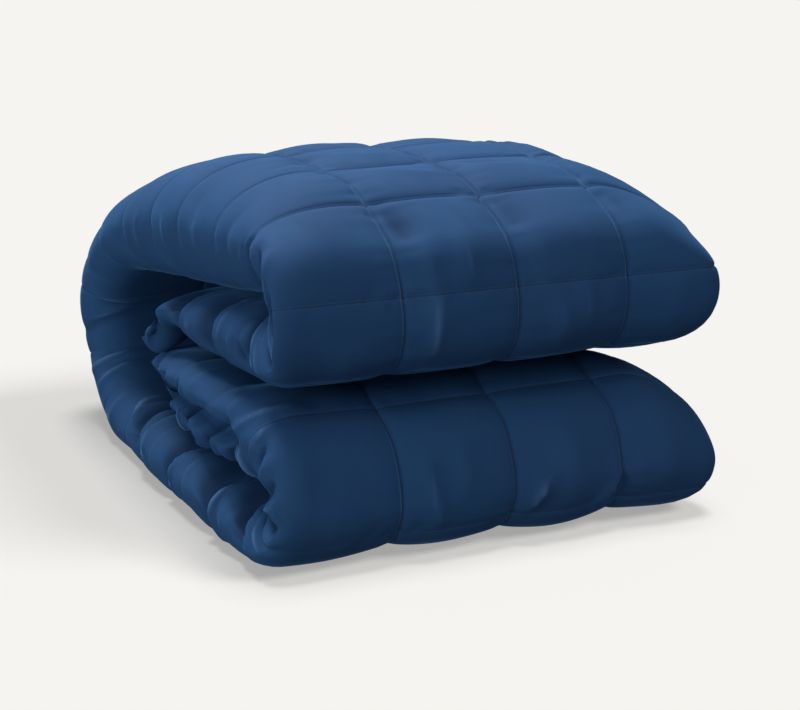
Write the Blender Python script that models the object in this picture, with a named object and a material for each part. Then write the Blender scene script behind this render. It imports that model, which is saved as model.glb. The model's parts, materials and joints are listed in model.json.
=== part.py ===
"""Weighted blanket, folded for storage: one filled, quilted body.

The blanket is folded across its width into a strip four layers thick, and that strip is folded back
and forth along its length. From the inner hem it runs forward (upper inner run), turns up round the
upper front fold, runs back over the top, turns down round the back, runs forward on the floor, turns
up round the lower front fold and runs back to its other hem. Behind the hems a hollow goes right
through, from the left end to the right end.

Frame: metres, +Z up, front towards -Y, origin on the floor under the middle of the bounding box.
"""

import math
from typing import NamedTuple

import bmesh
import bpy
import numpy as np

SQUARE = 0.100  # pitch of the quilted squares, metres; every other length is in squares
MIDDLE_X, MIDDLE_Y = 0.994, 2.574  # middle of the bounding box, from the first sewn line and the front

PANELS = 4  # squares across each face of the strip, its rounded ends among them
SEWN_DEPTH = 0.075  # how far a sewn line sinks below the crowns on the outer face
INNER_SHARE = 0.35  # of that depth, on the faces that press on each other inside
CROSS_SHARE = 0.65  # of that depth, along the lines that run across the strip
END_LINE_SHARE = 0.2  # of that depth, along the line sewn down each end of the strip
CREST_SHARE = 0.45  # of the lines across, where they turn round the crest of an end
CROWN_POWER = 0.42  # below 1 the squares are full and their sewn lines narrow
LEFT_CREST, RIGHT_CREST = 0.48, 0.12  # where a run's ends stand furthest out, from inner face to outer
LEFT_FOLD_CREST, RIGHT_FOLD_CREST = 0.85, 0.50  # the same on a folded face
LEFT_ROUNDNESS = 1.8  # 2 is an ellipse, and less is more slanted
RIGHT_ROUNDNESS, RIGHT_DROOP = 1.9, 0.5  # the right end is more slanted on top and fuller below
LEFT_INNER_REACH, RIGHT_INNER_REACH = 0.40, 0.12  # how far the ends' rounding reaches in on the inner face
SPLIT_SQUARES = (19.1, 19.8, 21.3, 22.0)  # the lower run's left end opens into two folds and closes again
SPLIT_DEPTH, SPLIT_PLACE, SPLIT_WIDTH = 0.24, 0.46, 0.10  # the crease between them
SPLIT_RAISE, SPLIT_TIGHTEN = 0.26, 0.55  # its crest moves to the upper fold, and the lower one fills out
FRONT_LEAN = 0.03  # how far the front comes forward for each square to the right
HEM_ROUND = 0.12  # how far the rounded hem stands out past its last row

RUN_CUTS = (0.0, 0.14, 0.5, 0.86)  # where a square is divided along the strip, closer at its sewn lines
SIDE_CUTS = (0.0, 0.12, 0.36, 0.64, 0.88)  # where it is divided across the strip
END_CUTS = (0.0, 0.07, 0.15, 0.25, 0.37, 0.52, 0.70, 0.87)  # and where it turns round an end
CAP_RINGS = 3


class Row(NamedTuple):
    """A cross-section of the strip: its outer and inner face, and the places of its two ends."""

    name: str
    square: float  # squares counted along the strip from the inner hem; whole numbers are sewn lines
    out_y: float
    out_z: float
    in_y: float
    in_z: float
    left: float  # x of the left end
    left_reach: float  # how far the left end's rounding reaches in on the outer face
    right: float  # x of the right end
    right_reach: float
    fold: float  # 0 in a flat run, 1 on a folded face, whose ends are crisp at its outer side


ROWS = (
    Row("inner hem", 0.0, 3.08, 1.54, 3.08, 1.74, -1.05, 0.24, 2.96, 0.50, 0.0),
    Row("inner run, back", 1.0, 2.35, 1.37, 2.38, 1.83, -1.02, 0.35, 3.00, 0.80, 0.0),
    Row("inner run, middle", 2.0, 1.40, 1.36, 1.42, 1.95, -1.02, 0.35, 3.04, 0.85, 0.0),
    Row("inner run, front", 2.6, 0.70, 1.38, 0.78, 2.03, -1.00, 0.35, 3.04, 0.85, 0.3),
    Row("upper fold, under", 3.0, 0.20, 1.50, 0.52, 2.05, -1.04, 0.20, 2.97, 0.55, 0.8),
    Row("upper fold, face", 4.0, -0.10, 2.20, 0.46, 2.11, -1.07, 0.14, 2.95, 0.26, 1.0),
    Row("upper fold, over", 4.5, 0.11, 2.58, 0.48, 2.15, -1.03, 0.45, 2.88, 0.60, 0.7),
    Row("upper fold, top", 5.0, 0.60, 2.86, 0.62, 2.15, -0.98, 0.85, 3.09, 1.02, 0.2),
    Row("top, first", 6.0, 1.45, 3.00, 1.35, 2.02, -1.00, 0.95, 3.20, 1.10, 0.0),
    Row("top, second", 7.0, 2.30, 3.02, 2.20, 1.91, -1.02, 0.95, 3.20, 1.10, 0.0),
    Row("top, third", 8.0, 3.10, 2.91, 3.00, 1.82, -1.02, 0.90, 3.18, 1.08, 0.0),
    Row("top, back", 9.0, 3.94, 2.67, 3.58, 1.76, -1.06, 0.78, 3.14, 1.00, 0.0),
    Row("back, high", 10.0, 4.76, 2.22, 4.14, 1.67, -1.12, 0.55, 3.08, 0.85, 0.0),
    Row("back, middle", 11.0, 5.28, 1.46, 4.58, 1.32, -1.16, 0.40, 3.04, 0.60, 0.0),
    Row("back, low", 12.0, 5.24, 0.58, 4.56, 0.88, -1.12, 0.35, 3.04, 0.50, 0.0),
    Row("floor, back", 13.0, 4.56, 0.00, 4.14, 0.60, -1.14, 0.30, 3.06, 0.50, 0.0),
    Row("floor, third", 14.0, 3.62, -0.03, 3.54, 0.54, -1.18, 0.25, 3.08, 0.50, 0.0),
    Row("floor, second", 15.0, 2.70, -0.03, 2.70, 0.54, -1.22, 0.25, 3.10, 0.50, 0.0),
    Row("floor, first", 16.0, 1.80, -0.03, 1.84, 0.54, -1.21, 0.25, 3.12, 0.50, 0.0),
    Row("floor, front", 17.0, 0.92, -0.03, 1.06, 0.52, -1.19, 0.25, 3.02, 0.50, 0.1),
    Row("lower fold, under", 17.6, 0.20, 0.07, 0.58, 0.50, -1.15, 0.20, 2.95, 0.36, 0.7),
    Row("lower fold, front", 18.0, -0.03, 0.26, 0.48, 0.53, -1.10, 0.15, 3.00, 0.20, 0.9),
    Row("lower fold, face", 18.4, -0.10, 0.60, 0.46, 0.57, -1.06, 0.14, 3.00, 0.18, 1.0),
    Row("lower fold, over", 18.75, 0.10, 1.02, 0.52, 0.60, -1.05, 0.28, 3.00, 0.50, 0.7),
    Row("lower fold, top", 19.0, 0.42, 1.22, 0.64, 0.62, -1.06, 0.40, 3.07, 0.75, 0.4),
    Row("lower run, front", 20.0, 1.32, 1.27, 1.36, 0.61, -1.12, 0.40, 3.04, 0.90, 0.0),
    Row("lower run, back", 21.0, 2.20, 1.27, 2.22, 0.64, -1.13, 0.40, 3.04, 0.90, 0.0),
    Row("lower hem", 22.0, 3.10, 1.16, 3.12, 0.84, -1.10, 0.24, 2.96, 0.50, 0.0),
)


def clear_scene():
    for obj in list(bpy.data.objects):
        bpy.data.objects.remove(obj, do_unlink=True)


def smooth_columns(squares):
    """Each column of ROWS at these places along the strip, on a cubic curve through the rows."""
    knots = np.array([row.square for row in ROWS])
    values = np.array([row[2:] for row in ROWS])
    gaps = np.diff(knots)[:, None]
    slopes = np.diff(values, axis=0) / gaps
    inner = (slopes[:-1] * gaps[1:] + slopes[1:] * gaps[:-1]) / (gaps[:-1] + gaps[1:])
    tangents = np.vstack([slopes[:1], inner, slopes[-1:]])
    row = np.clip(np.searchsorted(knots, squares, side="right") - 1, 0, len(ROWS) - 2)
    gap = gaps[row]
    t = (squares[:, None] - knots[row][:, None]) / gap
    curve = (
        values[row] * (1 + 2 * t) * (1 - t) ** 2
        + values[row + 1] * t**2 * (3 - 2 * t)
        + tangents[row] * gap * t * (1 - t) ** 2
        - tangents[row + 1] * gap * t**2 * (1 - t)
    )
    return dict(zip(Row._fields[2:], curve.T[:, :, None]))


def face_profile(across, reach, height, power, length):
    """(inward, up) along one face from a rounded end: a superellipse quarter, then a straight run.

    across goes from 0 at the end's crest to 1 at the first sewn line, length squares further in.
    """
    arc = 0.5 * math.pi * np.sqrt((reach**2 + height**2) / 2)
    share = arc / (arc + np.maximum(length - reach, 0.05))
    turn = np.clip(across / share, 0, 1) * 0.5 * math.pi
    inward = reach * (1 - np.cos(turn) ** (2 / power))
    up = np.sin(turn) ** (2 / power)
    straight = np.clip((across - share) / (1 - share), 0, 1)
    return inward + straight * (length - reach), up


def strip_surface(squares, around):
    """Points of the crowns' envelope: squares along the strip by squares around its section.

    around starts at the left end's crest, crosses the outer face to the right end's crest at PANELS,
    and comes back across the inner face.
    """
    row = smooth_columns(squares)
    inner = around > PANELS
    across = np.where(inner, 2 * PANELS - around, around)[None, :]
    rise = np.hypot(row["out_y"] - row["in_y"], row["out_z"] - row["in_z"])
    upward = (row["out_z"] - row["in_z"]) / rise
    side = np.where(inner, -1.0, 1.0)

    split = np.interp(squares, SPLIT_SQUARES, (0.0, 1.0, 1.0, 0.0))[:, None]
    crest = LEFT_CREST + (LEFT_FOLD_CREST - LEFT_CREST) * row["fold"] + SPLIT_RAISE * split
    height = np.where(inner, crest, 1 - crest)
    reach = np.where(inner, LEFT_INNER_REACH * (1 - SPLIT_TIGHTEN * split), row["left_reach"])
    inward, up = face_profile(np.clip(across, 0, 1), reach, height * rise, LEFT_ROUNDNESS, -row["left"])
    left_w = crest + side * height * up
    crease = np.exp(-(((left_w - SPLIT_PLACE) / SPLIT_WIDTH) ** 2))
    left_x = row["left"] + inward + SPLIT_DEPTH * split * crease

    crest = RIGHT_CREST + (RIGHT_FOLD_CREST - RIGHT_CREST) * row["fold"]
    height = np.where(inner, crest, 1 - crest)
    reach = np.where(inner, RIGHT_INNER_REACH * (1 + row["fold"]), row["right_reach"])
    roundness = np.where(inner, 2.0, RIGHT_ROUNDNESS - RIGHT_DROOP * upward)
    last_line = PANELS - 2.0  # x of the last sewn line before the right end
    inward, up = face_profile(
        np.clip(PANELS - across, 0, 1), reach, height * rise, roundness, row["right"] - last_line
    )
    right_x, right_w = row["right"] - inward, crest + side * height * up

    x = np.where(across < 1, left_x, np.where(across > PANELS - 1, right_x, across - 1))
    w = np.where(across < PANELS / 2, left_w, right_w)
    lean = FRONT_LEAN * x * np.exp(-((row["out_y"] / 0.8) ** 2))
    y = row["in_y"] + (row["out_y"] - row["in_y"]) * w - lean
    z = row["in_z"] + (row["out_z"] - row["in_z"]) * w
    return np.stack([x, y, z], axis=-1)


def grid_normals(points):
    """Unit normals of a grid that is open along its first axis and closed round its second."""
    along = np.gradient(points, axis=0)
    round_ = np.roll(points, -1, axis=1) - np.roll(points, 1, axis=1)
    normals = np.cross(round_, along)
    return normals / np.maximum(np.linalg.norm(normals, axis=2, keepdims=True), 1e-9)


def sewn_relief(squares, around):
    """How far each point lies below the crowns, in squares."""
    from_hem = np.minimum(squares, ROWS[-1].square - squares)[:, None]
    across_lines = np.where(from_hem < 0.5, 1.0, np.abs(np.sin(math.pi * squares))[:, None] ** CROWN_POWER)
    along_lines = np.abs(np.sin(math.pi * around))[None, :] ** CROWN_POWER
    near_end = np.abs(around % PANELS - PANELS / 2)[None, :] > PANELS / 2 - 0.5
    along_share = np.where(near_end, END_LINE_SHARE, 1.0)
    at_crest = np.abs(np.cos(math.pi * around / PANELS))[None, :] ** 12
    cross_share = CROSS_SHARE * (1 - (1 - CREST_SHARE) * at_crest)
    crown = (1 - cross_share * (1 - across_lines)) * (1 - along_share * (1 - along_lines))
    inner_share = INNER_SHARE * (1 - smooth_columns(squares)["fold"])
    return SEWN_DEPTH * np.where(around > PANELS, inner_share, 1.0) * (1 - crown)


def hem_cap(ring, towards):
    """Rings that round a hem off: each is thinner than the last and stands further out."""
    middle = (ring + np.roll(ring[::-1], 1, axis=0)) / 2
    rings = []
    for step in range(1, CAP_RINGS + 1):
        turn = 0.46 * math.pi * step / CAP_RINGS
        rings.append(middle + (ring - middle) * math.cos(turn) + towards * HEM_ROUND * math.sin(turn))
    return rings


def blanket_points():
    """All rings of the strip, from one hem's cap to the other's, in metres."""
    squares = (np.arange(ROWS[-1].square)[:, None] + np.array(RUN_CUTS)).ravel()
    squares = np.append(squares, ROWS[-1].square)
    half = np.concatenate([END_CUTS] + [panel + np.array(SIDE_CUTS) for panel in range(1, PANELS // 2)])
    face = np.concatenate([half, [PANELS / 2], PANELS - half[:0:-1]])
    around = np.concatenate([face, [PANELS], 2 * PANELS - face[:0:-1]])
    points = strip_surface(squares, around)
    points = points - grid_normals(points) * sewn_relief(squares, around)[..., None]
    start = points[0].mean(axis=0) - points[2].mean(axis=0)
    end = points[-1].mean(axis=0) - points[-3].mean(axis=0)
    first = hem_cap(points[0], start / np.linalg.norm(start))
    last = hem_cap(points[-1], end / np.linalg.norm(end))
    points = np.stack(first[::-1] + list(points) + last)
    points -= (MIDDLE_X, MIDDLE_Y, 0.0)
    points[..., 2] = np.maximum(points[..., 2], 0.0)
    return points * SQUARE


def closed_loft(points):
    """Vertices and faces of the rings joined in order, with a strip of faces across each end ring."""
    rings, count = points.shape[:2]
    faces = []
    for ring in range(rings - 1):
        for k in range(count):
            a, b = ring * count + k, ring * count + (k + 1) % count
            faces.append((a, b, b + count, a + count))
    for base, flip in ((0, False), ((rings - 1) * count, True)):
        for k in range(count // 2):
            corners = [base + k, base + (count - k) % count, base + count - k - 1, base + k + 1]
            corners = list(dict.fromkeys(corners))
            faces.append(corners[::-1] if flip else corners)
    return points.reshape(-1, 3), faces


def microfibre_material():
    material = bpy.data.materials.new("navy_microfibre")
    material.use_nodes = True
    shader = material.node_tree.nodes["Principled BSDF"]
    shader.inputs["Base Color"].default_value = (0.022, 0.066, 0.155, 1.0)
    shader.inputs["Roughness"].default_value = 0.72
    shader.inputs["Metallic"].default_value = 0.0
    shader.inputs["Sheen Weight"].default_value = 0.35
    return material


def quilted_blanket(collection):
    """The whole blanket as one closed body, with its squares raised in its faces."""
    vertices, faces = closed_loft(blanket_points())
    mesh = bpy.data.meshes.new("quilted_blanket")
    mesh.from_pydata(vertices.tolist(), [], faces)
    cage = bmesh.new()
    cage.from_mesh(mesh)
    bmesh.ops.recalc_face_normals(cage, faces=cage.faces)
    cage.to_mesh(mesh)
    cage.free()
    mesh.shade_smooth()
    mesh.materials.append(microfibre_material())
    blanket = bpy.data.objects.new("quilted_blanket", mesh)
    collection.objects.link(blanket)
    return blanket


def main():
    clear_scene()
    collection = bpy.data.collections.new("weighted_blanket")
    bpy.context.scene.collection.children.link(collection)
    quilted_blanket(collection)


main()
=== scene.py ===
"""Looks of a folded weighted blanket: quilted microfibre, sewn squares, folds and creases, in a plain studio.

The blanket is one strip of four sewn panels, folded back and forth along its length. Places on it are
given in squares: `along` counts from the inner hem, and `around` goes round the strip's section, from 0
at the left end's crest over the outer face to 4 at the right end's crest, and back over the inner face.
Places on the inner face near the left end are also given as negative numbers, down from 0.
"""

import json
import logging
import math
from dataclasses import dataclass, field
from enum import Enum
from typing import NamedTuple

import bpy
import numpy as np
from mathutils import Euler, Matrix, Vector

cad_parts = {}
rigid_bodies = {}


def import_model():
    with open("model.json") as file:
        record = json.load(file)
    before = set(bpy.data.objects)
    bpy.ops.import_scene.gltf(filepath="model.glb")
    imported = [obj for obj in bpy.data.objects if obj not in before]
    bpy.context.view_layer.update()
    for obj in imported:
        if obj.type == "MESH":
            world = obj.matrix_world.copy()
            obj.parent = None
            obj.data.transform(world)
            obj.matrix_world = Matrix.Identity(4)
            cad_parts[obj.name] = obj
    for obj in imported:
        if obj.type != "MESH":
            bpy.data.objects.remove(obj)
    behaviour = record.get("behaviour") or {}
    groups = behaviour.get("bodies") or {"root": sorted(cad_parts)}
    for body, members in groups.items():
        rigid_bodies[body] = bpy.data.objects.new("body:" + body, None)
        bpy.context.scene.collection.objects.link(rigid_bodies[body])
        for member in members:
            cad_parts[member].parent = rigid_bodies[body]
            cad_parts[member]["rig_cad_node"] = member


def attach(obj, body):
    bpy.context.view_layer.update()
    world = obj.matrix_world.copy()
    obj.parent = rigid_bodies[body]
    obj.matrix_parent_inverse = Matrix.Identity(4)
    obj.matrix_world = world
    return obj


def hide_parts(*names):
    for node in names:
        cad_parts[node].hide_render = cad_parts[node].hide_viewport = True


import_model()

LOG = logging.getLogger("weighted_blanket")
SQUARE = 0.100  # pitch of the quilted squares, metres
MIDDLE_X, MIDDLE_Y = 0.994, 2.574  # middle of the stack, in squares from the first sewn line and the front
PANELS = 4
LONG_LINES = (1, 2, 3, 5, 6, 7)  # places around of the sewn lines along the strip
LIP_PLACE = 0.85  # a lap's raised lip stands this far from its bottom, in widths of the lap
LIP_WIDTH = 0.45
LIP_SHARE = 0.42  # how high the lip is, as a share of the lap's depth
CREASE_END = 0.02  # a crease fades out by this share of its length
SHORTEST_RUN = 0.05  # between an end's rounding and the first sewn line, in squares
LINELESS = 0.5  # no sewn line this near a hem or a crest, in squares
NEARLY_NOTHING = 1e-9  # keeps a length that's divided by above 0

Array = np.ndarray
Colour = tuple[float, float, float]


class Form(Enum):
    """Which way a crease goes from the cloth's surface, and how blunt it is."""

    RIDGE = (1.0, 0.06)
    TROUGH = (-1.0, 0.03)
    LAP = (-1.0, 0.02)

    @property
    def sign(self) -> float:
        """Give 1 outwards and -1 inwards."""
        return self.value[0]

    @property
    def blunt(self) -> float:
        """Give the bluntness, 0 for a knife edge."""
        return self.value[1]


RIDGE, TROUGH, LAP = Form


class Row(NamedTuple):
    """A cross-section of the strip: its outer and inner face, and the places of its two ends, in squares."""

    square: float
    out_y: float
    out_z: float
    in_y: float
    in_z: float
    left: float
    left_reach: float
    right: float
    right_reach: float
    fold: float


class Crease(NamedTuple):
    """A fold of the cloth between two places on the strip, in squares."""

    form: Form
    along: float
    around: float
    to_along: float
    to_around: float
    width: float
    height: float
    bow: float = 0.0  # how far its middle stands off the straight line
    lean: float = 0.0  # -1 to 1: steep on one side and long on the other


ROWS: tuple[Row, ...] = (
    Row(0.0, 3.08, 1.54, 3.08, 1.74, -1.05, 0.24, 2.96, 0.50, 0.0),  # inner hem
    Row(1.0, 2.35, 1.37, 2.38, 1.83, -1.02, 0.35, 3.00, 0.80, 0.0),  # inner run, back
    Row(2.0, 1.40, 1.36, 1.42, 1.95, -1.02, 0.35, 3.04, 0.85, 0.0),  # inner run, middle
    Row(2.6, 0.70, 1.38, 0.78, 2.03, -1.00, 0.35, 3.04, 0.85, 0.3),  # inner run, front
    Row(3.0, 0.20, 1.50, 0.52, 2.05, -1.04, 0.26, 2.97, 0.55, 0.8),  # upper fold, under
    Row(4.0, -0.10, 2.20, 0.46, 2.11, -1.07, 0.24, 2.95, 0.26, 1.0),  # upper fold, face
    Row(4.5, 0.11, 2.58, 0.48, 2.15, -1.03, 0.45, 2.88, 0.60, 0.7),  # upper fold, over
    Row(5.0, 0.60, 2.86, 0.62, 2.15, -0.98, 0.85, 3.09, 1.02, 0.2),  # upper fold, top
    Row(6.0, 1.45, 3.00, 1.35, 2.02, -1.00, 0.95, 3.20, 1.10, 0.0),  # top, first
    Row(7.0, 2.30, 3.02, 2.20, 1.91, -1.02, 0.95, 3.20, 1.10, 0.0),  # top, second
    Row(8.0, 3.10, 2.91, 3.00, 1.82, -1.02, 0.90, 3.18, 1.08, 0.0),  # top, third
    Row(9.0, 3.94, 2.67, 3.58, 1.76, -1.06, 0.78, 3.14, 1.00, 0.0),  # top, back
    Row(10.0, 4.76, 2.22, 4.14, 1.67, -1.12, 0.55, 3.08, 0.85, 0.0),  # back, high
    Row(11.0, 5.28, 1.46, 4.58, 1.32, -1.16, 0.40, 3.04, 0.60, 0.0),  # back, middle
    Row(12.0, 5.24, 0.58, 4.56, 0.88, -1.12, 0.35, 3.04, 0.50, 0.0),  # back, low
    Row(13.0, 4.56, 0.00, 4.14, 0.60, -1.14, 0.30, 3.06, 0.50, 0.0),  # floor, back
    Row(14.0, 3.62, -0.03, 3.54, 0.54, -1.18, 0.25, 3.08, 0.50, 0.0),  # floor, third
    Row(15.0, 2.70, -0.03, 2.70, 0.54, -1.22, 0.25, 3.10, 0.50, 0.0),  # floor, second
    Row(16.0, 1.80, -0.03, 1.84, 0.54, -1.21, 0.25, 3.12, 0.50, 0.0),  # floor, first
    Row(17.0, 0.92, -0.03, 1.06, 0.52, -1.19, 0.25, 3.02, 0.50, 0.1),  # floor, front
    Row(17.6, 0.20, 0.07, 0.58, 0.50, -1.15, 0.26, 2.95, 0.36, 0.7),  # lower fold, under
    Row(18.0, -0.03, 0.26, 0.48, 0.53, -1.10, 0.24, 3.00, 0.20, 0.9),  # lower fold, front
    Row(18.4, -0.10, 0.60, 0.46, 0.57, -1.06, 0.24, 3.00, 0.18, 1.0),  # lower fold, face
    Row(18.75, 0.10, 1.02, 0.52, 0.60, -1.05, 0.28, 3.00, 0.50, 0.7),  # lower fold, over
    Row(19.0, 0.42, 1.22, 0.64, 0.62, -1.06, 0.40, 3.07, 0.75, 0.4),  # lower fold, top
    Row(20.0, 1.32, 1.27, 1.36, 0.61, -1.12, 0.40, 3.04, 0.90, 0.0),  # lower run, front
    Row(21.0, 2.20, 1.27, 2.22, 0.64, -1.13, 0.40, 3.04, 0.90, 0.0),  # lower run, back
    Row(22.0, 3.10, 1.16, 3.12, 0.84, -1.10, 0.24, 2.96, 0.50, 0.0),  # lower hem
)

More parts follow.
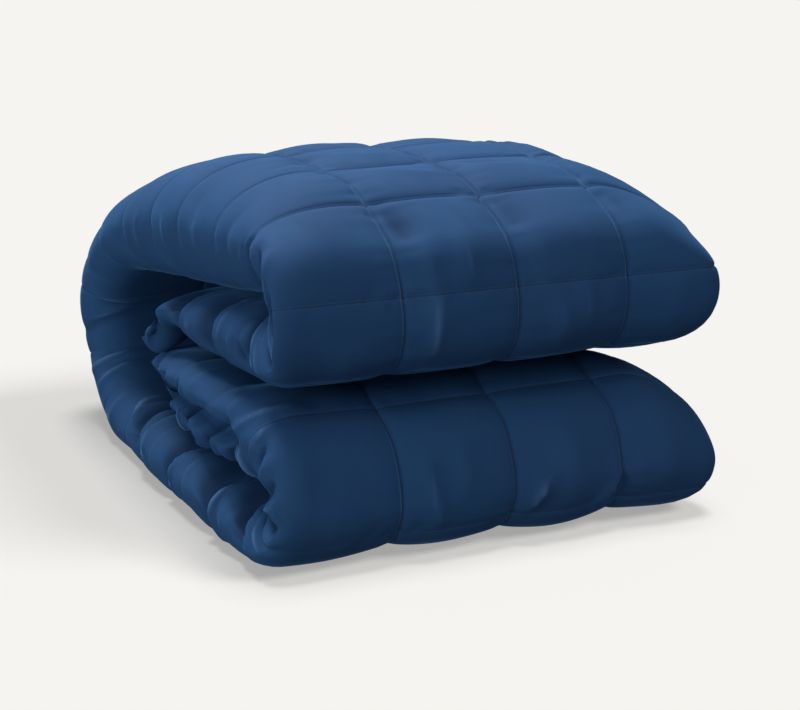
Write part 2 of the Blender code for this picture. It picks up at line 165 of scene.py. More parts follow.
CREASES: tuple[Crease, ...] = (
    # left ends of the top squares: soft ridges that run down between the sewn lines
    Crease(RIDGE, 8.42, 0.12, 8.50, -0.34, 0.075, 0.018, 0.03, 0.3),  # third, long ridge
    Crease(RIDGE, 8.20, 0.02, 8.75, -0.24, 0.060, 0.014, 0.02),  # third, front ridge
    Crease(RIDGE, 7.46, 0.06, 7.42, -0.26, 0.060, 0.018, 0.02, -0.3),  # second, first ridge
    Crease(RIDGE, 7.31, 0.02, 7.28, -0.18, 0.045, 0.011),  # second, second ridge
    Crease(RIDGE, 6.50, 0.10, 6.32, -0.36, 0.060, 0.021, 0.02, 0.3),  # first, long ridge
    Crease(RIDGE, 6.36, -0.16, 6.20, -0.36, 0.040, 0.014),  # first, short ridge
    Crease(TROUGH, 6.70, 0.40, 6.55, 0.02, 0.090, 0.014),  # first, high trough
    Crease(TROUGH, 5.55, 0.40, 5.70, -0.20, 0.110, 0.022, 0.04),  # fold, side trough
    # the front left corner of the upper fold: a small lobe, with pleats that run down from it
    Crease(RIDGE, 4.62, 0.20, 4.30, -0.02, 0.060, 0.035, 0.02, 0.4),  # edge lobe
    Crease(LAP, 4.76, 0.12, 4.40, -0.20, 0.060, 0.070, 0.02, -0.45),  # first pleat
    Crease(RIDGE, 4.88, 0.16, 4.68, -0.16, 0.040, 0.036),  # second pleat
    Crease(LAP, 4.98, 0.14, 5.16, -0.30, 0.070, 0.055, -0.02, -0.4),  # third pleat
    Crease(RIDGE, 5.22, -0.02, 5.34, -0.36, 0.060, 0.026),  # lower ridge
    Crease(TROUGH, 4.22, -0.02, 3.70, -0.12, 0.060, 0.060),  # side hollow
    # front faces: slack cloth hangs in soft upright waves
    Crease(TROUGH, 4.92, 1.10, 4.50, 1.14, 0.110, 0.050, -0.02, -0.4),  # face two, dimple
    Crease(TROUGH, 4.94, 2.10, 4.55, 2.13, 0.120, 0.036, -0.02, -0.4),  # face three, dimple
    Crease(TROUGH, 4.92, 3.10, 4.55, 3.13, 0.110, 0.026, -0.02, -0.4),  # face four, dimple
    Crease(RIDGE, 4.10, 1.30, 3.30, 1.27, 0.050, 0.050, 0.02, 0.3),  # face two, long wave
    Crease(RIDGE, 4.50, 1.28, 4.10, 1.23, 0.050, 0.026),  # face two, upper wave
    Crease(RIDGE, 4.55, 1.60, 4.05, 1.55, 0.060, 0.031),  # face two, right wave
    Crease(RIDGE, 4.08, 2.63, 3.45, 2.61, 0.045, 0.038, 0.02),  # face three, long wave
    Crease(RIDGE, 3.80, 2.37, 3.32, 2.40, 0.045, 0.038),  # face three, low wave
    Crease(RIDGE, 4.00, 3.42, 3.40, 3.38, 0.060, 0.026),  # face four, wave
    Crease(RIDGE, 3.60, 0.55, 3.20, 0.60, 0.070, 0.023),  # face one, low wave
    Crease(RIDGE, 18.60, 1.24, 18.02, 1.31, 0.055, 0.038, 0.0, 0.3),  # lower face two, wave
    Crease(RIDGE, 18.66, 1.56, 18.30, 1.52, 0.060, 0.031),  # lower face two, high wave
    Crease(RIDGE, 18.44, 2.30, 18.06, 2.13, 0.050, 0.046, 0.0, 0.5),  # lower face three, slanted crease
    Crease(RIDGE, 18.70, 2.55, 18.25, 2.53, 0.060, 0.026),  # lower face three, wave
    Crease(RIDGE, 18.32, 2.97, 17.96, 2.80, 0.035, 0.050, 0.0, 0.3),  # lower face three, end crease
    Crease(TROUGH, 18.26, 3.00, 17.98, 2.88, 0.035, 0.053),  # lower face three, end trough
    Crease(RIDGE, 18.60, 3.40, 18.20, 3.36, 0.060, 0.026),  # lower face four, wave
    # left end of the upper inner run: lobes that lap over each other
    Crease(RIDGE, 0.08, 0.12, 0.10, -0.34, 0.050, 0.050, 0.02),  # hem, curled edge
    Crease(LAP, 0.24, 0.20, 0.30, -0.20, 0.055, 0.060, 0.02, -0.4),  # hem, tuck
    Crease(RIDGE, 0.40, 0.22, 0.42, -0.10, 0.045, 0.030),  # hem, second curl
    Crease(LAP, 0.66, -0.04, 0.84, -0.50, 0.150, 0.087, 0.0, -0.3),  # back hollow
    Crease(LAP, 0.98, 0.14, 1.10, -0.52, 0.130, 0.136, -0.06, -0.45),  # first lap
    Crease(RIDGE, 1.42, 0.10, 1.40, -0.30, 0.130, 0.026),  # soft wave
    Crease(LAP, 1.96, 0.18, 1.92, -0.52, 0.150, 0.160, -0.09, -0.45),  # second lap
    Crease(RIDGE, 2.14, 0.04, 2.10, -0.34, 0.050, 0.047, 0.0, 0.3),  # first ridge
    Crease(RIDGE, 2.36, 0.12, 2.30, -0.14, 0.035, 0.052),  # second ridge
    Crease(TROUGH, 2.46, 0.10, 2.42, -0.08, 0.060, 0.070),  # pocket
    Crease(RIDGE, 2.45, 0.02, 2.52, -0.30, 0.045, 0.065, 0.0, 0.3),  # third ridge
    Crease(LAP, 2.66, 0.04, 2.76, -0.52, 0.110, 0.209, 0.0, -0.4),  # deep hollow
    Crease(RIDGE, 2.92, 0.06, 2.90, -0.24, 0.100, 0.042),  # front lobe
    Crease(TROUGH, 3.24, 0.02, 3.40, -0.30, 0.080, 0.110),  # front hollow
    Crease(TROUGH, 3.60, -0.06, 4.00, -0.14, 0.070, 0.070),  # back of the front edge
    # left end of the lower run
    Crease(RIDGE, 21.64, 0.30, 21.40, 0.00, 0.090, 0.030, 0.03),  # back band
    Crease(RIDGE, 20.52, 0.30, 20.42, 0.06, 0.060, 0.030),  # second band
    Crease(RIDGE, 19.06, 0.50, 19.32, -0.04, 0.055, 0.044, -0.05, 0.2),  # slanted fold
    Crease(RIDGE, 19.52, 0.28, 19.46, 0.00, 0.055, 0.034),  # slanted band
    Crease(TROUGH, 19.20, 0.34, 19.42, -0.02, 0.080, 0.030),  # slanted tuck
    Crease(LAP, 21.32, -0.02, 21.55, -0.42, 0.100, 0.131, 0.0, 0.45),  # layer below, first lap
    Crease(RIDGE, 21.00, -0.08, 21.06, -0.42, 0.050, 0.065),  # layer below, lip
    Crease(LAP, 20.84, 0.02, 20.76, -0.16, 0.090, 0.148, 0.0, 0.4),  # layer below, dark tuck
    Crease(RIDGE, 20.32, -0.10, 20.56, -0.34, 0.050, 0.047),  # layer below, ridge
    Crease(LAP, 20.12, -0.06, 20.30, -0.38, 0.090, 0.102, 0.0, 0.45),  # layer below, seam lap
    Crease(RIDGE, 19.64, -0.10, 19.90, -0.26, 0.040, 0.039),  # layer below, soft ridge
    Crease(LAP, 19.50, -0.06, 19.45, -0.46, 0.140, 0.180, 0.0, 0.3),  # layer below, front hollow
    Crease(RIDGE, 19.15, -0.06, 19.30, -0.42, 0.100, 0.078),  # layer below, front lobe
    # left edge of the lower front face: it zigzags
    Crease(RIDGE, 18.98, 0.24, 18.86, 0.00, 0.040, 0.050, 0.0, 0.4),  # first kink
    Crease(TROUGH, 18.90, 0.16, 18.78, -0.08, 0.050, 0.075),  # first tuck
    Crease(RIDGE, 18.76, 0.12, 18.66, -0.12, 0.045, 0.050),  # second kink
    Crease(TROUGH, 18.62, 0.10, 18.50, -0.22, 0.055, 0.080),  # second tuck
    Crease(RIDGE, 18.46, 0.08, 18.38, -0.16, 0.045, 0.050),  # third kink
    Crease(TROUGH, 18.28, 0.08, 18.18, -0.26, 0.055, 0.085),  # third tuck
    Crease(RIDGE, 18.12, 0.10, 18.04, -0.14, 0.050, 0.045),  # foot ridge
    # left end of the run on the floor: lobes with deep hollows between them
    Crease(RIDGE, 13.40, 0.06, 13.30, -0.34, 0.110, 0.031),  # back wave
    Crease(RIDGE, 14.18, -0.10, 13.82, -0.34, 0.055, 0.078, 0.0, 0.4),  # lip of the hollow
    Crease(LAP, 14.38, -0.08, 14.28, -0.52, 0.130, 0.234, 0.0, -0.2),  # deep hollow
    Crease(TROUGH, 14.52, 0.14, 14.50, -0.12, 0.055, 0.050, 0.02),  # pinch
    Crease(RIDGE, 14.86, 0.00, 14.70, -0.22, 0.045, 0.039),  # small ridge
    Crease(LAP, 15.50, 0.10, 15.78, -0.38, 0.120, 0.125, -0.07, -0.45),  # first lap
    Crease(RIDGE, 16.04, -0.14, 16.22, -0.36, 0.040, 0.026),  # ridge under the lap
    Crease(RIDGE, 15.74, -0.10, 15.98, -0.30, 0.035, 0.026),  # thin ridge
    Crease(LAP, 16.70, 0.08, 16.86, -0.40, 0.170, 0.196, -0.03, -0.45),  # second lap
    Crease(RIDGE, 16.90, 0.00, 16.98, -0.28, 0.040, 0.030),  # second lip
    Crease(RIDGE, 17.10, 0.06, 17.08, -0.14, 0.040, 0.030),  # front ridge
    Crease(RIDGE, 17.16, 0.02, 17.30, -0.26, 0.035, 0.030),  # upright streak
    Crease(LAP, 17.38, -0.04, 17.52, -0.44, 0.130, 0.196, 0.0, -0.45),  # front hollow
    Crease(RIDGE, 17.84, 0.06, 17.80, -0.20, 0.045, 0.052),  # foot ridge
    Crease(TROUGH, 17.98, 0.04, 17.98, -0.32, 0.055, 0.080),  # foot tuck
    # the back of the hollow and its left edge
    Crease(RIDGE, 10.96, -0.14, 11.12, -0.58, 0.045, 0.039, 0.02),  # hollow, high crease
    Crease(RIDGE, 11.52, -0.08, 11.22, -0.42, 0.040, 0.036),  # hollow, middle crease
    Crease(RIDGE, 12.30, 0.04, 12.22, -0.42, 0.050, 0.052, 0.02),  # hollow, low crease
    Crease(RIDGE, 12.66, -0.02, 12.50, -0.42, 0.050, 0.047),  # hollow, lowest crease
    Crease(TROUGH, 10.60, 0.16, 10.56, -0.20, 0.070, 0.030),  # back edge, first kink
    Crease(TROUGH, 11.66, 0.14, 11.60, -0.24, 0.070, 0.034),  # back edge, second kink
    # soft wrinkles on the top squares
    Crease(RIDGE, 6.55, 1.20, 6.30, 1.75, 0.060, 0.016, 0.04),  # left wrinkle
    Crease(RIDGE, 5.70, 1.30, 5.35, 1.85, 0.070, 0.018, 0.05),  # middle wrinkle
    Crease(RIDGE, 7.30, 1.60, 7.60, 2.20, 0.070, 0.018, 0.05),  # far wrinkle
    Crease(RIDGE, 5.60, 2.30, 5.30, 2.85, 0.070, 0.016, -0.04),  # right wrinkle
    Crease(TROUGH, 5.80, 2.15, 5.55, 2.60, 0.090, 0.020),  # right trough
    Crease(TROUGH, 6.20, 0.70, 6.55, 1.15, 0.080, 0.020),  # left trough
    # right end and back
    Crease(RIDGE, 5.60, 3.70, 5.45, 4.05, 0.080, 0.034, 0.02),  # right end, first fold
    Crease(RIDGE, 6.45, 3.72, 6.55, 4.06, 0.060, 0.046, 0.02),  # right end, second fold
    Crease(RIDGE, 7.55, 3.70, 7.40, 4.06, 0.100, 0.026),  # right end, third fold
    Crease(RIDGE, 8.50, 3.74, 8.60, 4.04, 0.060, 0.036),  # right end, fourth fold
    Crease(RIDGE, 10.50, 3.70, 10.40, 4.08, 0.070, 0.040),  # right end, back fold
    Crease(RIDGE, 12.40, 3.75, 12.55, 4.10, 0.060, 0.034),  # right end, low fold
    Crease(RIDGE, 1.45, 3.60, 1.55, 4.02, 0.060, 0.036),  # right end, inner fold
    Crease(RIDGE, 20.50, 3.64, 20.40, 4.02, 0.060, 0.044),  # right end, lower fold
    Crease(RIDGE, 21.50, 3.66, 21.60, 4.02, 0.090, 0.030),  # right end, hem fold
    Crease(RIDGE, 10.30, 1.30, 10.70, 1.70, 0.090, 0.018, 0.04),  # back, upper wave
    Crease(RIDGE, 11.60, 2.30, 11.30, 2.80, 0.090, 0.018, 0.04),  # back, middle wave
    Crease(RIDGE, 12.40, 0.60, 12.20, 1.40, 0.090, 0.018, 0.04),  # back, low wave
    Crease(RIDGE, 9.50, 2.70, 9.20, 3.20, 0.080, 0.016),  # back, right wave
)


def bell(distance: Array, width: float) -> Array:
    """Give exp(-(distance / width)^2)."""
    return np.exp(-((distance / width) ** 2))


def off_line(places: Array) -> Array:
    """Give how far places are from the nearest whole number, where the sewn lines are."""
    return np.abs(places - np.round(places))


def linked(name: str, data: bpy.types.ID) -> bpy.types.Object:
    """Make an object and put it in the scene.

    Args:
        name: The object's name.
        data: Its mesh, light or camera.

    Returns:
        The object.
    """
    made = bpy.data.objects.new(name, data)
    bpy.context.scene.collection.objects.link(made)
    return made


def meshed(name: str, points: Array, faces: list[list[int]]) -> bpy.types.Object:
    """Make an object of points and faces, and put it in the scene.

    Args:
        name: The object's and the mesh's name.
        points: The points, in any number of rows and columns by 3.
        faces: The corners of each face, as numbers of points.

    Returns:
        The object.
    """
    mesh = bpy.data.meshes.new(name)
    mesh.from_pydata(points.reshape(-1, 3).tolist(), [], faces)
    return linked(name, mesh)


def smooth_columns(along: Array) -> dict[str, Array]:
    """Carry the columns of ROWS along the strip.

    A cubic Hermite curve passes through every row, with slopes that weigh the two sides of a row by
    their lengths.

    Args:
        along: Places along the strip, in squares.

    Returns:
        Each column of numbers at those places, as a column vector.
    """
    knots = np.array([row.square for row in ROWS])
    values = np.array([row[1:] for row in ROWS])
    gaps = np.diff(knots)[:, None]
    slopes = np.diff(values, axis=0) / gaps
    inner = (slopes[:-1] * gaps[1:] + slopes[1:] * gaps[:-1]) / (gaps[:-1] + gaps[1:])
    tangents = np.vstack([slopes[:1], inner, slopes[-1:]])
    row = np.clip(np.searchsorted(knots, along, side="right") - 1, 0, len(ROWS) - 2)
    gap = gaps[row]
    t = (along[:, None] - knots[row][:, None]) / gap
    curve = (
        values[row] * (1 + 2 * t) * (1 - t) ** 2
        + values[row + 1] * t**2 * (3 - 2 * t)
        + tangents[row] * gap * t * (1 - t) ** 2
        - tangents[row + 1] * gap * t**2 * (1 - t)
    )
    return dict(zip(Row._fields[1:], curve.T[:, :, None]))


def face_profile(
    across: Array, reach: Array, height: Array, power: Array | float, length: Array
) -> tuple[Array, Array]:
    """Follow one face of the strip in from its rounded end.

    The face is a quarter of a superellipse, `reach` wide and `height` high, and then a straight run.

    Args:
        across: 0 at the end's crest to 1 at the first sewn line.
        reach: Width of the rounding, in squares.
        height: Height of the rounding, in squares.
        power: The superellipse's power: 2 is an ellipse.
        length: Distance from the crest to the first sewn line, in squares.

    Returns:
        How far in from the crest each place is, in squares, and how far up its rounding, from 0 to 1.
    """
    arc = 0.5 * math.pi * np.sqrt((reach**2 + height**2) / 2)
    share = arc / (arc + np.maximum(length - reach, SHORTEST_RUN))
    turn = np.clip(across / share, 0, 1) * 0.5 * math.pi
    inward = reach * (1 - np.cos(turn) ** (2 / power))
    up = np.sin(turn) ** (2 / power)
    straight = np.clip((across - share) / (1 - share), 0, 1)
    return inward + straight * (length - reach), up


def unit(vectors: Array) -> Array:
    """Bring vectors along the last axis to unit length."""
    return vectors / np.maximum(np.linalg.norm(vectors, axis=-1, keepdims=True), NEARLY_NOTHING)


def grid_normals(points: Array) -> Array:
    """Find the unit normals of a grid that is open along its first axis and closed round its second.

    Args:
        points: The grid's points, rows by columns by 3.

    Returns:
        The cross product of the grid's two directions at each point, at unit length.
    """
    along = np.gradient(points, axis=0)
    around = np.roll(points, -1, axis=1) - np.roll(points, 1, axis=1)
    return unit(np.cross(around, along))


def tube_corners(rings: int, count: int) -> tuple[Array, Array]:
    """Find the corners of the quads that join rings of points into a tube.

    Args:
        rings: How many rings.
        count: How many points each ring has.

    Returns:
        The ring of each quad's corners, and their place in it, which is `count` where a ring closes.
    """
    ring, place = np.meshgrid(np.arange(rings - 1), np.arange(count), indexing="ij")
    places = np.stack([place, place + 1, place + 1, place], axis=-1)
    return np.stack([ring, ring, ring + 1, ring + 1], axis=-1), places


def seam_spacing(count: int, crowding: float) -> Array:
    """Divide a square from one sewn line to the next, closer at the lines.

    The place of step s is s - crowding * sin(2 pi s).

    Args:
        count: Steps in a square.
        crowding: How much closer the steps are at the lines, below 1 / (2 pi).

    Returns:
        The places from 0 up to, but without, 1.
    """
    step = np.arange(count) / count
    return step - crowding * np.sin(2 * math.pi * step)


def dial(node: bpy.types.Node, values: dict[str, float | tuple[float, ...]]) -> None:
    """Set a node's inputs, where a colour of three parts is opaque.

    Args:
        node: The node.
        values: The values by the names of their inputs.
    """
    for name, value in values.items():
        opaque = isinstance(value, tuple) and len(node.inputs[name].default_value) > len(value)
        node.inputs[name].default_value = (*value, 1.0) if opaque else value


class Cloud(NamedTuple):
    """A noise: the coordinates that it reads, its scale and detail, and how its axes are scaled."""

    reads: str
    scale: float
    detail: float
    stretch: tuple[float, float, float]


class Layer(NamedTuple):
    """A colour laid where a cloud, or an attribute of the mesh, is in a window of values.

    From the value low to the value high, its share of the colour goes smoothly from 0 to the most.
    """

    source: Cloud | str
    low: float
    high: float
    most: float
    colour: Colour


class Dyeing:
    """A material's node tree, whose base colour is laid on layer by layer."""

    NUMBERS = {"Value": "Value", "Low": "From Min", "High": "From Max", "Most": "To Max"}
    COLOURS = {"Under": "A", "Over": "B"}

    def __init__(self, name: str, ground: Colour, layers: tuple[Layer, ...]) -> None:
        """Start the material and lay its colours.

        Args:
            name: The material's name.
            ground: The colour under all the layers.
            layers: The colours over it, the lowest first.
        """
        self.material = bpy.data.materials.new(name)
        self.material.use_nodes = True
        self.nodes, self.links = self.material.node_tree.nodes, self.material.node_tree.links
        self.shader = self.nodes["Principled BSDF"]
        self.place = self.nodes.new("ShaderNodeTexCoord")
        under = None
        for layer in layers:
            laid = self.nodes.new("ShaderNodeGroup")
            laid.node_tree = self.layer_group()
            dial(laid, {"Low": layer.low, "High": layer.high, "Most": layer.most})
            dial(laid, {"Under": ground, "Over": layer.colour})
            self.links.new(self.value(layer.source), laid.inputs["Value"])
            if under is not None:
                self.links.new(under, laid.inputs["Under"])
            under = laid.outputs["Colour"]
        self.links.new(under, self.shader.inputs["Base Color"])

    @classmethod
    def layer_group(cls) -> bpy.types.NodeTree:
        """Build the node group that lays one colour over another, or find it if it's built.

        The share laid over is the smooth step of (value - low) / (high - low), times the most.

        Returns:
            The group, whose output is the mixed colour.
        """
        group = bpy.data.node_groups.get("laid_over")
        if group is not None:
            return group
        group = bpy.data.node_groups.new("laid_over", "ShaderNodeTree")
        given, put = group.nodes.new("NodeGroupInput"), group.nodes.new("NodeGroupOutput")
        share = group.nodes.new("ShaderNodeMapRange")
        share.interpolation_type = "SMOOTHSTEP"
        mix = group.nodes.new("ShaderNodeMix")
        mix.data_type = "RGBA"
        for node, kind, wires in ((share, "Float", cls.NUMBERS), (mix, "Color", cls.COLOURS)):
            for name, socket in wires.items():
                group.interface.new_socket(name, in_out="INPUT", socket_type=f"NodeSocket{kind}")
                group.links.new(given.outputs[name], node.inputs[socket])
        group.interface.new_socket("Colour", in_out="OUTPUT", socket_type="NodeSocketColor")
        group.links.new(share.outputs["Result"], mix.inputs["Factor"])
        group.links.new(mix.outputs["Result"], put.inputs["Colour"])
        return group

    def value(self, source: Cloud | str) -> bpy.types.NodeSocket:
        """Read a value that changes over the cloth.

        Args:
            source: A noise, or the name of one of the mesh's attributes.

        Returns:
            The value.
        """
        if isinstance(source, str):
            read = self.nodes.new("ShaderNodeAttribute")
            read.attribute_name = source
            return read.outputs["Fac"]
        mapping, noise = self.nodes.new("ShaderNodeMapping"), self.nodes.new("ShaderNodeTexNoise")
        dial(mapping, {"Scale": source.stretch})
        dial(noise, {"Scale": source.scale, "Detail": source.detail})
        self.links.new(self.place.outputs[source.reads], mapping.inputs["Vector"])
        self.links.new(mapping.outputs["Vector"], noise.inputs["Vector"])
        return noise.outputs["Fac"]


@dataclass(frozen=True)
class Microfibre:
    """A brushed microfibre: deep navy cloth whose short nap shows pale where it is seen at a slant."""

    name: str = "navy_microfibre"
    colour: Colour = (0.0175, 0.061, 0.155)
    shaded: Colour = (0.019, 0.046, 0.125)
    brushed: Colour = (0.027, 0.084, 0.200)
    # painted highlight: pale on raised creases, beside the sewn lines and on their rims
    crest: Colour = (0.075, 0.165, 0.330)
    # painted shade: dark in the creases' troughs and in the sewn lines
    painted_crease_shade: Colour = (0.009, 0.030, 0.080)
    layers: tuple[Layer, ...] = (
        Layer(Cloud("Object", 9.0, 2.0, (1.0, 1.0, 0.6)), 0.38, 0.70, 0.30, shaded),  # broad clouds
        Layer(Cloud("UV", 26.0, 3.0, (1.0, 0.45, 1.0)), 0.48, 0.78, 0.40, brushed),  # patches
        Layer(Cloud("UV", 1400.0, 2.0, (1.0, 0.30, 1.0)), 0.40, 0.80, 0.22, brushed),  # fibres
        Layer("nap", 0.018, 0.058, 0.80, crest),  # painted highlight where a crease stands up
        Layer("nap", -0.008, -0.062, 0.94, painted_crease_shade),  # painted shade where it goes in
        Layer("sewn", 0.02, 0.35, 0.13, crest),  # painted highlight beside a sewn line
        Layer("sewn", 0.35, 0.90, 0.72, painted_crease_shade),  # painted shade in the line
        Layer("painted_rim", 0.05, 0.90, 0.60, crest),  # painted highlight on the line's left edge
    )
    specular: float = 0.06
    sheen: float = 0.235
    sheen_roughness: float = 0.25
    sheen_tint: Colour = (0.15, 0.47, 1.0)
    roughness: tuple[float, float] = (0.72, 0.86)
    worn: Cloud = Cloud("UV", 60.0, 2.0, (1.0, 0.4, 1.0))  # where it's rougher
    nap: Cloud = Cloud("UV", 900.0, 2.0, (1.0, 0.55, 1.0))  # the pile that stands up
    nap_height: float = 0.00010
    nap_strength: float = 0.35

    def build(self) -> bpy.types.Material:
        """Make the material, with sheen, uneven roughness and a nap.

        Returns:
            The material.
        """
        dyeing = Dyeing(self.name, self.colour, self.layers)
        nodes, links, shader = dyeing.nodes, dyeing.links, dyeing.shader
        dial(shader, {"Metallic": 0.0, "Specular IOR Level": self.specular, "Sheen Weight": self.sheen})
        dial(shader, {"Sheen Roughness": self.sheen_roughness, "Sheen Tint": self.sheen_tint})
        rough = nodes.new("ShaderNodeMapRange")
        dial(rough, dict(zip(("To Min", "To Max"), self.roughness)))
        links.new(dyeing.value(self.worn), rough.inputs["Value"])
        links.new(rough.outputs["Result"], shader.inputs["Roughness"])
        bump = nodes.new("ShaderNodeBump")
        dial(bump, {"Strength": self.nap_strength, "Distance": self.nap_height})
        links.new(dyeing.value(self.nap), bump.inputs["Height"])
        links.new(bump.outputs["Normal"], shader.inputs["Normal"])
        return dyeing.material


@dataclass(frozen=True)
class Thread:
    """The quilting thread, dyed to match the cloth."""

    name: str = "navy_thread"
    colour: Colour = (0.016, 0.050, 0.120)
    fleck: Colour = (0.022, 0.068, 0.160)
    layers: tuple[Layer, ...] = (
        Layer(Cloud("Object", 1500.0, 2.0, (1.0, 1.0, 1.0)), -0.25, 1.25, 1.0, fleck),  # paler fibres
    )
    roughness: float = 0.55

    def build(self) -> bpy.types.Material:
        """Make the material.

        Returns:
            The material.
        """
        dyeing = Dyeing(self.name, self.colour, self.layers)
        dial(dyeing.shader, {"Roughness": self.roughness})
        return dyeing.material


class Wave(NamedTuple):
    """A pucker round the strip: height * sin(turns * around + phase)."""

    height: float
    turns: float
    phase: float


@dataclass
class QuiltedBlanket:
    """The whole blanket as one filled, quilted body. Sizes are in squares."""

    # ends of the strip; a crest's height goes from 0 on the inner face to 1 on the outer one
    left_crest: float = 0.48
    right_crest: float = 0.12
    left_fold_crest: float = 0.85
    right_fold_crest: float = 0.50
    left_roundness: float = 2.0
    right_roundness: float = 1.9
    right_droop: float = 0.5  # how much less round the right end is where its outer face looks up
    left_inner_reach: float = 0.40
    right_inner_reach: float = 0.12
    front_lean: float = 0.03  # how far forward the folds' fronts turn for each square to the right
    front_reach: float = 0.8
    # the split between the cloth's layers at the left end of the lower run
    split_squares: tuple[float, ...] = (19.1, 19.8, 21.3, 22.0)
    split_depth: float = 0.24
    split_place: float = 0.46
    split_width: float = 0.10
    split_raise: float = 0.26
    split_tighten: float = 0.55
    # sewn lines; a share is of the full depth
    sewn_depth: float = 0.075
    crown_power: float = 0.36
    inner_share: float = 0.35
    inner_turn: tuple[float, float] = (0.02, 0.45)  # where past the crests the inner share starts and fills
    cross_share: float = 0.65  # of the lines across the strip
    crest_share: float = 0.45
    crest_power: int = 12
    fold_ease: float = 0.55  # how much shallower the lines across the strip are on its folds
    faint_line: float = 18.0  # the lower fold's lowest line, nearly pressed flat
    faint_ease: float = 0.9
    faint_width: float = 0.3
    lost_share: float = 0.7  # how far the lines are lost at the left end of the run on the floor
    lost_middle: tuple[float, float] = (15.5, -0.1)
    lost_reach: tuple[float, float] = (2.2, 0.5)
    # masks for the cloth's colour: painted shade in the sewn lines and painted highlights beside them
    line_width: float = 0.014
    long_line: float = 0.68  # how dark the painted shade in the lines along the strip is beside those across it
    painted_rim_place: float = 0.017  # how far left of a line its painted highlight rim is
    painted_rim_width: float = 0.009
    painted_rim_share: float = 0.15  # how strong the painted highlight is away from the folds' fronts
    # unevenness
    fullness: float = 0.020  # how much one square's crown differs from the next
    fullness_skew: float = 0.7
    drift: float = 0.014  # slow rise and fall of the whole face
    drift_turns: tuple[int, ...] = (1, 2, 3, 5, 7)
    drift_pitch: tuple[float, float] = (0.15, 0.75)
    drift_share: float = 1 / 2.2
    gathers: float = 0.006  # small gathers beside the sewn lines
    gather_pitches: tuple[float, ...] = (2.7, 4.3, 7.1)
    gather_reach: float = 0.08
    seed: int = 7
    # hems: where they're rounded, pushed in or out, and drooping
    hem_round: float = 0.12
    hem_reach: float = 0.30
    hem_shifts: tuple[float, float] = (-0.04, 0.10)  # of the inner and the lower hem's left end
    hem_shift_width: float = 0.50
    hem_right_shift: float = -0.26
    hem_right_width: float = 0.45
    corner_drop: float = 0.42
    corner_reach: tuple[float, float] = (0.26, 0.60)
    pucker_reach: tuple[float, float] = (0.24, 0.70)
    puckers: tuple[Wave, ...] = (Wave(0.045, 14.0, 1.0), Wave(0.080, 11.0, 0.5), Wave(0.045, 12.0, 2.0))
    cap_rings: int = 5
    cap_turn: float = 0.46 * math.pi  # just short of a quarter turn
    cap_pitch: float = 0.02  # between the cap's rings on the UV map
    # the grid
    steps_along: int = 28  # in each square
    steps_around: tuple[int, ...] = (32, 24, 22, 22, 22, 22, 24, 32)
    crowding: tuple[float, float] = (0.06, 0.10)
    # the settling cloth
    swell: float = 0.010  # most that it moves
    settle_frames: int = 16
    cloth_settings: tuple[tuple[str, float], ...] = (
        ("uniform_pressure_force", 1.2),
        ("shrink_min", -0.030),  # this share larger than its sewn outline
        ("quality", 4),
        ("mass", 0.3),
        ("tension_stiffness", 12.0),
        ("compression_stiffness", 12.0),
        ("shear_stiffness", 4.0),
        ("bending_stiffness", 4.0),
    )
    free_inner: float = 0.5  # how freely the inner face moves
    hidden_squares: tuple[float, float] = (3.0, 19.3)  # the outer face lies between layers outside these
    hidden_around: tuple[float, float] = (0.3, 3.9)
    hidden_hold: float = 0.85
    left_hold: float = 0.75
    left_hold_width: float = 0.7
    hold_edge: float = 0.3
    along: Array = field(init=False)
    around: Array = field(init=False)
    row: dict[str, Array] = field(init=False)
    creases: Array = field(init=False)
    points: Array = field(init=False)

    def __post_init__(self) -> None:
        """Lay out the grid's two directions and work out its points."""
        length = int(ROWS[-1].square)
        steps = seam_spacing(self.steps_along, self.crowding[0])
        self.along = np.append((np.arange(length)[:, None] + steps).ravel(), float(length))
        squares = enumerate(self.steps_around)
        self.around = np.concatenate([k + seam_spacing(count, self.crowding[1]) for k, count in squares])
        self.row = smooth_columns(self.along)
        self.creases = self.creased()
        self.points = self.surface()

    @property
    def signed_around(self) -> Array:
        """Give the places round the strip as a row from -4 to 4, with the inner face below 0."""
        return np.where(self.around > PANELS, self.around - 2 * PANELS, self.around)[None, :]

    @property
    def from_hem(self) -> Array:
        """Give the distance to the nearer hem, as a column."""
        return np.minimum(self.along, ROWS[-1].square - self.along)[:, None]

    def column(self, line: int) -> int:
        """Give the column of the grid that lies on a line along the strip."""
        return sum(self.steps_around[:line])

    def capped(self, values: Array) -> Array:
        """Carry a face's values over the rings of its hem caps."""
        return np.pad(values, ((self.cap_rings, self.cap_rings), (0, 0)), mode="edge")

    def envelope(self) -> Array:
        """Find the surface that touches the crowns of all the squares.

        A row's outer and inner face are joined at each end by two superellipse quarters. A place's
        height w in the strip goes from 0 on the inner face to 1 on the outer one.

        Returns:
            The points, places along by places around by 3.
        """
        row, fold = self.row, self.row["fold"]
        inner = self.around > PANELS
        across = np.where(inner, 2 * PANELS - self.around, self.around)[None, :]
        rise = np.hypot(row["out_y"] - row["in_y"], row["out_z"] - row["in_z"])
        upward = (row["out_z"] - row["in_z"]) / rise
        side = np.where(inner, -1.0, 1.0)

        split = np.interp(self.along, self.split_squares, (0.0, 1.0, 1.0, 0.0))[:, None]
        crest = self.left_crest + (self.left_fold_crest - self.left_crest) * fold + self.split_raise * split
        height = np.where(inner, crest, 1 - crest)
        inner_reach = self.left_inner_reach * (1 - self.split_tighten * split)
        reach = np.where(inner, inner_reach, row["left_reach"])
        length = -row["left"]
        inward, up = face_profile(np.clip(across, 0, 1), reach, height * rise, self.left_roundness, length)
        left_w = crest + side * height * up
        pressed = self.split_depth * split * bell(left_w - self.split_place, self.split_width)
        left_x = row["left"] + inward + pressed

